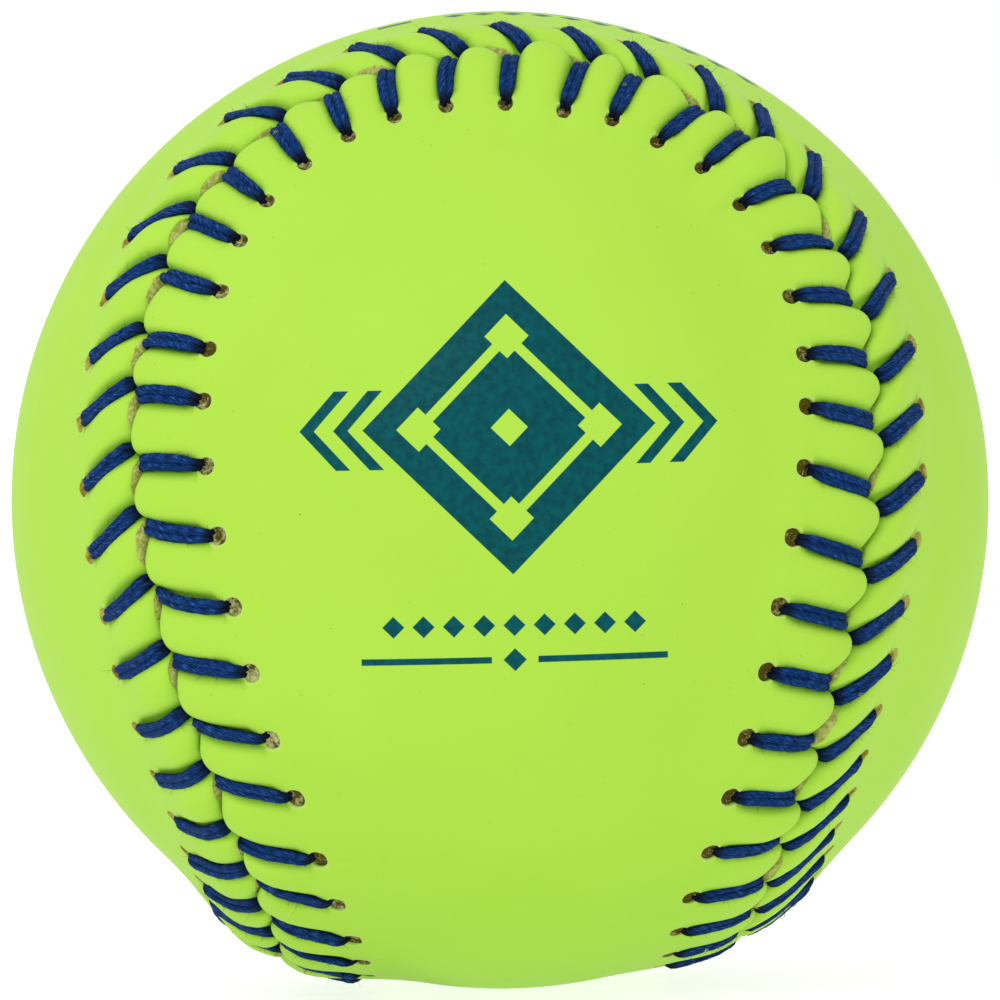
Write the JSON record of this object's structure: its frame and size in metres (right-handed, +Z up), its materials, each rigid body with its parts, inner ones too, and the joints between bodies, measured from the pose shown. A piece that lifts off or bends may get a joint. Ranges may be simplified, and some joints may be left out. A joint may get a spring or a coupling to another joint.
{
  "type": "softball",
  "caption": "Stitched softball: two interlocking synthetic-leather panels on felt backing, closed with waxed thread over a cement-coated moulded core.",
  "frame": {"origin": "centre of the ball", "axes": "+Z up through the middle of the side panel's waist; the front panel's lobe faces -Y; the seam is symmetric about Z"},
  "size_m": [0.088, 0.088, 0.0882],
  "materials": {
    "core": "moulded polyurethane foam, dense, matte",
    "cement": "dried contact cement, matte",
    "cover_skin": "optic yellow-green synthetic leather, fine grain, satin",
    "cover_backing": "tan needle felt",
    "thread": "royal blue waxed cotton thread, two strands side by side"
  },
  "bodies": {
    "root": {"core": "core", "cement_layer": "cement", "front_panel_skin": "cover_skin", "front_panel_backing": "cover_backing", "side_panel_skin": "cover_skin", "side_panel_backing": "cover_backing", "thread_one": "thread", "thread_two": "thread"}
  },
  "joints": []
}
